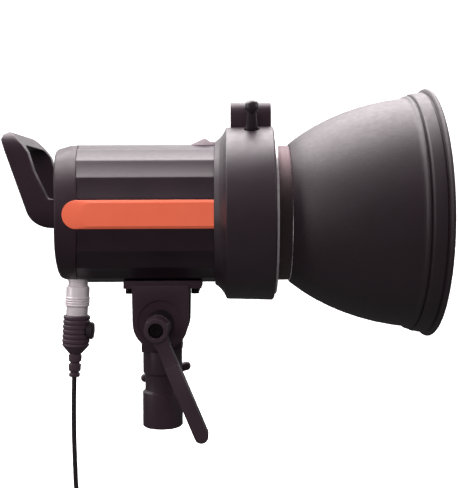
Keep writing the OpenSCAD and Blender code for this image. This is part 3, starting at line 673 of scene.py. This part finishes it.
def make_strain_relief():
    profile = [(0, 56.25), (4.2, 56.25), (4.2, 57), (4.85, 57.4), (4.7, 62.1), (3.4, 62.5), (3.4, 63.8),
               (4.65, 64.2), (4.45, 69.1), (3.2, 69.5), (3.2, 70.8), (4.2, 71.2), (3.9, 73.6), (0, 73.6)]
    relief = lathe("strain_relief_made", rounded(down(profile), 0.5, 3), "boot_rubber", AT_INLET, 64)
    return settle(relief, "boot_rubber", "strain_relief")


def inlet_hole():
    return rod_tool(AT_INLET @ Matrix.Translation((0, 0, -12)), 8.3, 20)


def make_connector():
    inlet = [(0, -6), (6, -6), (6, -0.5), (8.15, -0.5), (8.15, 2.4), (7.15, 2.4), (7.15, 6.2),
             (5, 6.2), (5, 14), (0, 14)]
    settle(lathe("power_inlet_made", rounded(down(inlet), 0.35, 3), "inlet_metal", AT_INLET, 96),
           "inlet_metal", "power_inlet")
    collar = [(5.1, 6.25), (8, 6.25), (8.6, 6.9), (8.6, 14.2)]
    for k in range(4):
        ring = 14.2 + 1.75 * k
        collar += [(9.15, ring + 0.1), (9.15, ring + 1.1), (8.5, ring + 1.3), (8.5, ring + 1.55)]
    collar += [(7.95, 21.4), (7.95, 27.9), (5.1, 27.9)]
    settle(lathe("plug_collar_made", rounded(down(collar), 0.3, 3), "inlet_metal", AT_INLET, 96, closed=True),
           "inlet_metal", "plug_collar")
    boot = [(0, 28), (9.2, 28)]
    for k in range(6):
        rib, wider = 28 + 3.5 * k, 0.04 * k
        boot += [(9.9 + wider, rib + 0.5), (9.9 + wider, rib + 2.3),
                 (9.3 + wider, rib + 2.6), (9.3 + wider, rib + 3.2)]
    boot += [(10.1, 50), (4.9, 56.2), (0, 56.2)]
    body = lathe("plug_boot_made", rounded(down(boot), 0.4, 3), "boot_rubber", AT_INLET, 96)
    pocket = rod_tool(AT_PAD @ Matrix.Translation((0, 0, 6.6)), PAD_POCKET_R, 12, 64)
    settle(cut(body, pocket), "boot_rubber", "plug_boot")
    pad = [(0, 8), (PAD_R, 8), (PAD_R, 12), (5.6, 13), (3.5, 13.2), (0, 12.9)]
    settle(lathe("plug_release_made", rounded(pad, 0.7, 4), "plug_plastic", AT_PAD, 64),
           "plug_plastic", "plug_release")


# ------------------------------------------------------------------ body tube, cap, panels

CAP_R = 51.6
CAP_ARC_R = 217.0
CAP_SWEEP_R = 240.0
CAP_SWEEP_H = -10.0
SHELL_IN = 48.2
PANEL_REAR = -66.0
PANEL_HALF = 10.1
PANEL_IN = 49.75
PANEL_OUT = 52.0
POCKET_IN = 49.7
POCKET_GAP = 0.28
OUTSIDE = 60.0          # clear of the tube, for tools that cut through its wall
RIDGES = [a + half for half in (0, 180) for a in (12, 30, 48, 66, 84, 96, 114, 132, 150, 168)]


def arc_offset(y):
    """How far the cap's vertical arc stands forward of its middle at that Y."""
    return CAP_ARC_R - math.sqrt(CAP_ARC_R ** 2 - y * y)


def sweep_offset(h):
    """How far the lower part of the cap's rear face sweeps forward at that height over the axis."""
    drop = max(0.0, CAP_SWEEP_H - h)
    return CAP_SWEEP_R - math.sqrt(CAP_SWEEP_R ** 2 - drop * drop)


def facet_section():
    """The tube's outline in YZ: slightly hollow facets between soft ridges."""
    sag, sag_length, ridge, ridge_drop, steps = 0.45, 16, 0.55, 0.12, 9
    points = []
    corners = [Vector((math.cos(math.radians(a)), math.sin(math.radians(a)))) * TUBE_R for a in RIDGES]
    for i, a in enumerate(corners):
        b = corners[(i + 1) % len(corners)]
        normal = (a + b).normalized()
        length = (b - a).length
        for k in range(steps + 1):
            t = ridge / length + (1 - 2 * ridge / length) * k / steps
            dip = sag * (1 - (2 * t - 1) ** 2) * length / sag_length
            points.append(a.lerp(b, t) - normal * dip)
        points.append(b - b.normalized() * ridge * ridge_drop)
    return points


def panel_outline(gap, inset=0.0, rear_inset=0.0, end=TUBE_FRONT):
    """Side panel outline in XZ, round at the rear; inset draws the long edges in."""
    steps = 40
    r = PANEL_HALF + gap - inset
    centre = PANEL_REAR + PANEL_HALF + (rear_inset - inset if rear_inset else 0.0)
    points = [(end, AXIS_Z - r)]
    for k in range(steps + 1):
        a = math.radians(-90 - 180 * k / steps)
        points.append((centre + r * math.cos(a), AXIS_Z + r * math.sin(a)))
    points.append((end, AXIS_Z + r))
    return points


def pocket_tool(side):
    """The space that a side panel lies in, with a little clearance round it."""
    low, high = sorted((side * POCKET_IN, side * OUTSIDE))
    outline = panel_outline(POCKET_GAP, end=TUBE_FRONT + 2)
    return loft("pocket", [[(x, y, z) for x, z in outline] for y in (low, high)], "satin_plastic")


def make_tube():
    """The tube's shell: its rear edge follows the cap's arc and has a small bevel."""
    bevel_height, bevel_length = 0.3, 0.35
    outer = facet_section()
    inner = [p.normalized() * SHELL_IN for p in outer]
    bevelled = [p * (1 - bevel_height / TUBE_R) for p in outer]
    rows = [[(x + arc_offset(p.x), q.x, AXIS_Z + q.y) for p, q in zip(section, placed)]
            for x, section, placed in ((SEAM_X, outer, bevelled), (SEAM_X + bevel_length, outer, outer))]
    rows += [[(TUBE_FRONT, p.x, AXIS_Z + p.y) for p in section] for section in (outer, inner)]
    rows.append([(SEAM_X + arc_offset(p.x), p.x, AXIS_Z + p.y) for p in inner])
    rows.append(rows[0])
    tube = loft("body_tube_made", rows, "tube_finish", 25, caps=False)
    sensor_slot = box_tool(22.3, 41, -7.1, 7.1, AXIS_Z + 49.5, AXIS_Z + OUTSIDE)
    cut(tube, pocket_tool(-1), pocket_tool(1), sensor_slot, inlet_hole(), sharp=25)
    settle(tube, "tube_finish", "body_tube")


def rounded_rect(w, h, r):
    """A rounded rectangle around the origin."""
    steps = 8
    points = []
    for cx, cy, start in ((w / 2 - r, h / 2 - r, 0), (-w / 2 + r, h / 2 - r, 90),
                          (-w / 2 + r, -h / 2 + r, 180), (w / 2 - r, -h / 2 + r, 270)):
        for k in range(steps + 1):
            a = math.radians(start + 90 * k / steps)
            points.append((cx + r * math.cos(a), cy + r * math.sin(a)))
    return points


def rear_tool(x0, x1, h, w, t, r):
    """A rounded opening in the rear face, w wide and t high, with its middle h over the axis."""
    return bar_tool([(y, h + z) for y, z in rounded_rect(w, t, r)], x0, x1)


def cap_profile(seam):
    """The cap's section as (radius, depth from its rear face); seam is the depth of its front edge."""
    corner, taper, floor, wall_in = 1.8, 2.6, 8.5, 46.2
    flat = CAP_R - taper - corner
    profile = [(flat * k / 8, 0) for k in range(8)]
    profile += [(flat + corner * math.sin(math.radians(a)), corner * (1 - math.cos(math.radians(a))))
                for a in range(0, 85, 6)]
    return profile + [(CAP_R - 0.5, 9.0), (CAP_R, seam - 0.5), (CAP_R - 0.3, seam - 0.05),
                      (wall_in, seam - 0.05), (wall_in, floor), (0, floor)]


def make_cap():
    """The rear cap, its face bent to an arc and swept forward below, with its openings."""
    seam = SEAM_X - CAP_REAR
    segments = 144
    verts, rings = [], []
    for radius, depth in cap_profile(seam):
        rings.append(list(range(len(verts), len(verts) + segments)))
        for k in range(segments):
            a = 2 * math.pi * k / segments
            y, h = radius * math.cos(a), radius * math.sin(a)
            lean = arc_offset(y) + sweep_offset(h) * (1 - depth / seam)
            verts.append((CAP_REAR + depth + lean, y, AXIS_Z + h))
    faces = [(a[k], a[(k + 1) % segments], b[(k + 1) % segments], b[k])
             for a, b in zip(rings, rings[1:]) for k in range(segments)]
    cap = new_piece("rear_cap_made", verts, faces, "satin_plastic", 28)
    behind = -90
    panel_recess = rear_tool(behind, -73, 0.5, 60.4, 65.4, 6)
    panel_opening = rear_tool(behind, -60, 0.5, 55, 60, 4)
    vents = [rear_tool(behind, -60, h, width, 2.2, 1.05)
             for h, width in ((-42.5, 20), (-38.5, 30), (39.5, 30), (43.5, 20))]
    cut(cap, pocket_tool(-1), pocket_tool(1), panel_recess, panel_opening, inlet_hole(), *vents, sharp=28)
    settle(cap, "satin_plastic", "rear_cap")


def make_side_panel(side, node):
    """A panel with a long flat face, sloped edges and a rear end that falls away."""
    rings = [(PANEL_IN, panel_outline(0)), (50.7, panel_outline(0)), (50.85, panel_outline(0, 0.12)),
             (PANEL_OUT, panel_outline(0, 1.9, 13.2))]
    loops = [[(x, side * y, z) for x, z in outline] for y, outline in rings]
    settle(loft(node + "_made", loops, "orange_panel", 3), "orange_panel", node)


# ------------------------------------------------------------------ front ring, lock pin, springs

PIN_X = 67.5
PIN_LEAN = math.radians(18)
AT_PIN = Matrix.Translation((PIN_X, 0, AXIS_Z)) @ Matrix.Rotation(PIN_LEAN, 4, "X")
PIN_R = 2.5
PIN_BALL_R = 5.5
PIN_BALL_H = 81.3
LOCK_SPRING_TOP = 59.4
LEVER_SPRING_END = 55.1


def make_front_ring():
    outer = rounded([(51.9, 40.02), (53.6, 40.02), (55, 42), (56.7, 44), (59.8, 46.5), (62.8, 48),
                     (64.4, 48.7), (65.4, 82.4), (64.3, 83.6), (61.0, 83.6)], 1.1, 4)
    inner = [(61.0, 81.6), (46.3, 81.6), (46.3, 76), (49, 76), (49, 71.5), (46.3, 71.5), (46.3, 58),
             (45, 58), (45, 34), (48.1, 34), (48.1, 40.02)]
    ring = lathe("front_ring_made", outer + inner, "ring_plastic", ALONG_X, 160, 30, closed=True)
    pin_recess = rod_tool(AT_PIN @ Matrix.Translation((0, 0, 62.6)), 5.8, 12)
    pin_bore = rod_tool(AT_PIN @ Matrix.Translation((0, 0, 40)), PIN_R + 0.1, 30)
    cut(ring, pin_recess, pin_bore, sharp=30)
    settle(ring, "ring_plastic", "front_ring")


def make_lock_pin():
    """A turned pin: tip, spring collar, shaft, cone and ball."""
    profile = [(0, 47), (2.1, 47), (PIN_R, 47.4), (PIN_R, 53), (3.7, 53), (3.7, 54.2), (PIN_R, 54.2),
               (PIN_R, 63), (4.7, 63), (4.9, 63.4), (3.5, 76.6)]
    for degrees in range(40, 180, 7):
        a = math.radians(degrees)
        profile.append((PIN_BALL_R * math.sin(a), PIN_BALL_H - PIN_BALL_R * math.cos(a)))
    profile.append((0, PIN_BALL_H + PIN_BALL_R))
    settle(lathe("lock_pin_made", profile, "pin_metal", AT_PIN, 64), "pin_metal", "lock_pin")


def spring(name, place, r, wire, low, high, turns):
    """A coil spring along local Z, with closed ends; wire is the wire's radius."""
    ring, steps, closed_end = 10, 28, 0.12
    angles = [2 * math.pi * k / ring for k in range(ring)]
    loops = []
    for i in range(turns * steps + 1):
        t = i / (turns * steps)
        climb = min(1.0, max(0.0, (t - closed_end) / (1 - 2 * closed_end)))
        h = low + wire + (high - low - 2 * wire) * climb
        a = 2 * math.pi * turns * t
        loops.append([((r + wire * math.cos(b)) * math.cos(a), (r + wire * math.cos(b)) * math.sin(a),
                       h + wire * math.sin(b)) for b in angles])
    return loft(name, loops, "bright_steel", 60, place)


def make_springs():
    lock = spring("lock_spring_made", AT_PIN, 3.1, 0.35, 54.3, LOCK_SPRING_TOP, 6)
    settle(lock, "bright_steel", "lock_spring")
    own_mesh(lock)
    along_y = Matrix.Translation((0, 0, PIVOT_Z)) @ Matrix.Rotation(QUARTER, 4, "X")
    lever = spring("lever_spring_made", along_y, 4.0, 0.45, 51.1, LEVER_SPRING_END, 4)
    settle(lever, "bright_steel", "lever_spring")
    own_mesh(lever)


# ------------------------------------------------------------------ handle

HANDLE_HALF = 43.0
HANDLE_INNER_HALF = 35.0
HANDLE_GROW = 0.25      # what the smoothing takes off
HANDLE_TOP = 59.6
GRIP_UNDERSIDE = 49.4
ELBOW = (-76.0, 7.6)
ELBOW_R = 17.5


def handle_outline():
    """The handle from the side, as (X, height over the axis)."""
    foot = [(-70, 10.9), (-70, ELBOW[1] - ELBOW_R)]
    elbow = [(ELBOW[0] - ELBOW_R * math.sin(math.radians(a)), ELBOW[1] - ELBOW_R * math.cos(math.radians(a)))
             for a in range(0, 73, 6)]
    grip = [(-110.9, 53.5), (-110.2, 56.8), (-107.6, 59.2), (-104.6, 59), (-100, 54.6)]
    underside = [(-95.7, 50), (-91.7, 44.5), (-87.4, 31), (-79.4, 14.5), (-78.2, 12.2), (-77, 11.1)]
    return foot + elbow + grip + underside


def handle_rectangle(half, low, high, corner, steps):
    """A rectangle with rounded corners, as (Y, height over the axis)."""
    return rounded([(-half, low), (half, low), (half, high), (-half, high)], corner, steps, closed=True)


def soft_remesh(obj, voxel, rounds):
    """Rounds a blocky solid's edges by remeshing and smoothing it."""
    mod = obj.modifiers.new("remesh", "REMESH")
    mod.mode = "VOXEL"
    mod.voxel_size = voxel * MM
    mod.use_smooth_shade = True
    mod = obj.modifiers.new("smooth", "SMOOTH")
    mod.factor = 0.5
    mod.iterations = rounds
    apply_modifiers(obj, 60)
    return obj


def make_handle():
    """The side outline run across, kept where the loop seen from behind covers it, then softened."""
    half = HANDLE_HALF + HANDLE_GROW
    outline = [(x, AXIS_Z + h) for x, h in handle_outline()]
    handle = loft("handle_made", [[(x, y, z) for x, z in outline] for y in (-half, half)], "satin_plastic")
    loop = bar_tool(handle_rectangle(half, -12, HANDLE_TOP, 16, 10), -130, -60)
    opening = handle_rectangle(HANDLE_INNER_HALF - HANDLE_GROW, -20, GRIP_UNDERSIDE, 9, 8)
    cut(loop, bar_tool(opening, -131, -59))
    cut(handle, loop, operation="INTERSECT")
    soft_remesh(handle, 0.7, 5)
    cap_space = [[(CAP_REAR + 0.15 + arc_offset(y), y, AXIS_Z + h) for y in range(-60, 61, 2)]
                 + [(-50, 60, AXIS_Z + h), (-50, -60, AXIS_Z + h)] for h in (-70, 70)]
    cut(handle, loft("tool", cap_space, "satin_plastic"), sharp=50)
    settle(handle, "satin_plastic", "handle")


# ------------------------------------------------------------------ reflector

BOWL_REAR = 95.4
BOWL_BEAD = 178.5       # where the plain curve ends and the rim's beads begin
BOWL_FRONT = 198.0
BOWL_WALL = 1.2
RIM_WALL = 1.5
BOWL_RIM = [(85.7, 180), (86.9, 181.4), (87.3, 182.4), (87, 183.3), (86.2, 183.9), (88, 184.6),
            (88.6, 185.6), (89.2, 189), (89.8, 193), (88.6, 194.2), (90.8, 194.9), (92.1, 195.8),
            (92.5, 196.8), (92.1, 197.6), (91, BOWL_FRONT)]
# The bowl's curve is part of an ellipse, a little wider where it meets the neck.
ELLIPSE_X = 201.0
ELLIPSE_DEPTH = 129.0
ELLIPSE_R = 86.5
NECK_SWELL = 2.2
NECK_SWELL_LENGTH = 16.0


def bowl_radius(x):
    """The bowl's outer radius at that station."""
    curve = ELLIPSE_R * math.sqrt(1 - ((ELLIPSE_X - x) / ELLIPSE_DEPTH) ** 2)
    return curve + NECK_SWELL * math.exp((BOWL_REAR - x) / NECK_SWELL_LENGTH)


def inside_limit(x):
    """The radius below which a face at that station belongs to the bowl's inside."""
    if x < BOWL_REAR + 0.6:
        return bowl_radius(x) - BOWL_WALL + 0.1
    if x <= BOWL_RIM[0][1]:
        return bowl_radius(x) - BOWL_WALL / 2
    for (r0, x0), (r1, x1) in zip(BOWL_RIM, BOWL_RIM[1:]):
        if x0 <= x <= x1:
            return r0 + (r1 - r0) * (x - x0) / (x1 - x0) - RIM_WALL / 2
    return 90.0


def make_reflector():
    """The bowl's closed section: outside forward, round the lip, and back along the inside."""
    stations = [BOWL_REAR + (BOWL_BEAD - BOWL_REAR) * (k / 40) ** 1.3 for k in range(41)]
    outside = [(bowl_radius(x), x) for x in stations] + BOWL_RIM
    inside = [(r - RIM_WALL, x) for r, x in reversed(BOWL_RIM[:-1])]
    inside += [(bowl_radius(x) - BOWL_WALL, x) for x in reversed(stations)]
    profile = rounded(outside + [(89.8, BOWL_FRONT)] + inside, 0.45, 3, closed=True)
    bowl = lathe("reflector_bowl_made", profile, "bowl_outside", ALONG_X, 192, 50, closed=True,
                 second=("bowl_inside", lambda r, x: r < inside_limit(x)))
    settle(bowl, "bowl_finish", "reflector_bowl")
    dressed("reflector_neck", 0.35, "neck_metal")


DOME_R = 37.0
DOME_FOOT = 42.1
DOME_SHOULDER = 74.0
DOME_RISE = 14.0
DOME_WALL = 1.8


def dome_arc(wall, angles):
    """Part of the dome's curve, set in from its outer face by wall; angles are in degrees."""
    turns = [math.radians(a) for a in angles]
    return [((DOME_R - wall) * math.cos(a), DOME_SHOULDER + (DOME_RISE - wall) * math.sin(a)) for a in turns]


def make_dome():
    """A glass cup over the lamp, open at its foot."""
    outer = [(DOME_R, DOME_FOOT), (DOME_R, DOME_SHOULDER)] + dome_arc(0, range(5, 90, 5))
    crown = [(0, DOME_SHOULDER + DOME_RISE), (0, DOME_SHOULDER + DOME_RISE - DOME_WALL)]
    inner = dome_arc(DOME_WALL, range(85, -1, -5)) + [(DOME_R - DOME_WALL, DOME_FOOT), (DOME_R, DOME_FOOT)]
    settle(lathe("glass_dome_made", outer + crown + inner, "frosted_glass", ALONG_X, 128),
           "frosted_glass", "glass_dome")


# ------------------------------------------------------------------ carried-over nodes

# CAD shapes that get rounded edges: node, edge radius, material.
DRESSED = [("umbrella_holder", 0.9, "cast_metal"), ("umbrella_screw", 0.5, "knob_plastic"),
           ("sensor_window", 0.5, "sensor_plastic"), ("bayonet_plate", 0.3, "bright_steel"),
           ("yoke", 0.9, "cast_metal"), ("yoke_screws", 0.35, "black_steel"),
           ("clamp_nut", 0.5, "bright_steel"), ("clamp_stud", 0.3, "dark_steel"),
           ("clamp_lever", 0.9, "lever_metal"), ("lever_screw", 0.3, "black_steel"),
           ("stand_adapter", 0.6, "cast_metal"), ("stud_screw", 0.6, "cast_metal"),
           ("stud_pad", 0.3, "brass_pad"), ("control_panel", 0.5, "panel_black"),
           ("control_dial", 0.35, "knob_plastic"), ("dial_button", 0.25, "orange_button"),
           ("menu_button", 0.5, "button_rubber"), ("sync_button", 0.5, "button_rubber"),
           ("test_button", 0.5, "button_rubber"), ("power_switch", 0.5, "switch_red"),
           ("port_block", 0.25, "port_metal"), ("display_window", 0.2, "display_glass"),
           ("modelling_lamp", 0.3, "lamp_phosphor"), ("flash_dish", 0.4, "white_ceramic")]
# CAD shapes shown as they are, with their materials.
PLAIN = {"friction_washers": "fibre", "umbrella_pad": "nylon", "handle_screws": "black_steel",
         "reflector_rivets": "bright_steel", "flash_tube": "quartz", "heat_sink": "aluminium_fins",
         "chassis": "aluminium_fins", "power_board": "circuit_board", "capacitors": "capacitor_sleeve",
         "trigger_coil": "coil_wrap", "control_board": "circuit_board", "fan_frame": "fan_black",
         "fan_rotor": "fan_black"}

# ------------------------------------------------------------------ main

make_camera()
make_stage()
make_materials()
make_lead()
make_connector()
make_tube()
make_cap()
make_side_panel(-1, "side_panel_near")
make_side_panel(1, "side_panel_far")
make_front_ring()
make_lock_pin()
make_springs()
make_handle()
make_reflector()
make_dome()
for made_node, width, made_material in DRESSED:
    dressed(made_node, width, made_material)
for plain_node, plain_material in PLAIN.items():
    finish_node(plain_node, plain_material)
